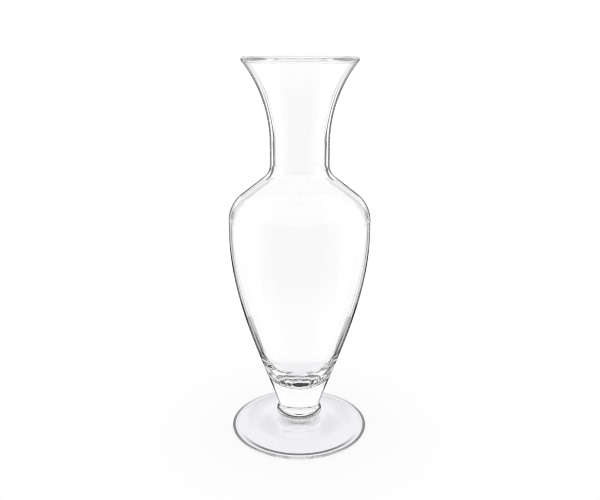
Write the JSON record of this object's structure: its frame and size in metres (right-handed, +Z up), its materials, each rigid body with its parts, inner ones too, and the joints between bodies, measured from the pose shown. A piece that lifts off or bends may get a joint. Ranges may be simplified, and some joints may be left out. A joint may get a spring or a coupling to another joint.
{
  "type": "footed trumpet vase",
  "caption": "Clear glass vase with a tapered bowl, round shoulder and trumpet-flared neck on a solid stem, a rounded collar and a spread disc foot.",
  "frame": {"origin": "on the table, at the centre of the ring that the foot stands on", "axes": "+Z up the vase's axis; +X and +Y are any two level directions, since every piece is round about +Z"},
  "size_m": [0.0792, 0.0792, 0.2132],
  "materials": {
    "clear_glass": "fire-polished, clear and colourless"
  },
  "bodies": {
    "root": {"bowl": "clear_glass", "stem": "clear_glass", "collar": "clear_glass", "foot": "clear_glass"}
  },
  "joints": []
}
